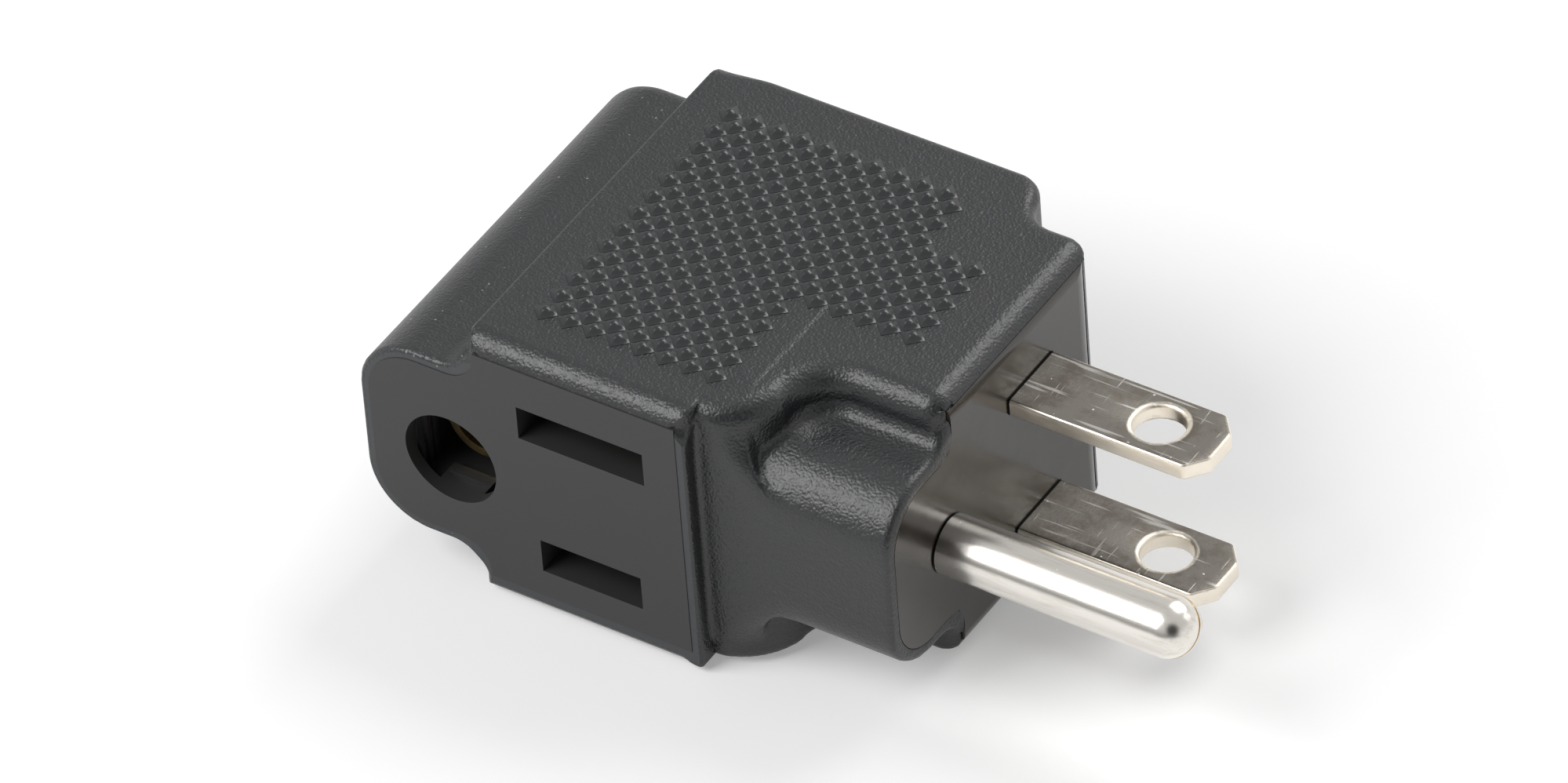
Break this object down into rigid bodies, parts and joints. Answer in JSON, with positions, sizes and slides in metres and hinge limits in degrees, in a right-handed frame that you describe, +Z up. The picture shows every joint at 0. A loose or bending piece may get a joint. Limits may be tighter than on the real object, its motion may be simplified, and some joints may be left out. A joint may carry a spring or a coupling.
{
  "type": "right angle plug adapter",
  "caption": "Right angle grounded plug adapter: flat blades and a round ground pin on one side, the matching outlet on the side next to it, in a moulded jacket with a pyramid grip.",
  "frame": {"origin": "on the surface it lies on, under the centre of the whole box, with the lowest grip teeth at z = 0", "axes": "+X along the blades and out of the plug face, the outlet's face towards -Y, +Z up through the large flat side"},
  "size_m": [0.0662, 0.0356, 0.0256],
  "materials": {
    "jacket": "fine grained black moulding",
    "core": "smooth satin black",
    "bridge": "glossy black",
    "plated_metal": "nickel plate with fine scratches",
    "contact_metal": "rolled strip, dull"
  },
  "bodies": {
    "root": {"outer_jacket": "jacket", "receptacle_core": "core", "core_cover": "core", "plug_bridge": "bridge", "bridge_clamp": "core", "line_blade": "plated_metal", "neutral_blade": "plated_metal", "ground_pin": "plated_metal", "line_contact": "contact_metal", "neutral_contact": "contact_metal", "ground_contact": "contact_metal", "ground_link": "contact_metal", "line_rivet": "contact_metal", "neutral_rivet": "contact_metal", "ground_pin_rivet": "contact_metal", "ground_contact_rivet": "contact_metal"}
  },
  "joints": []
}
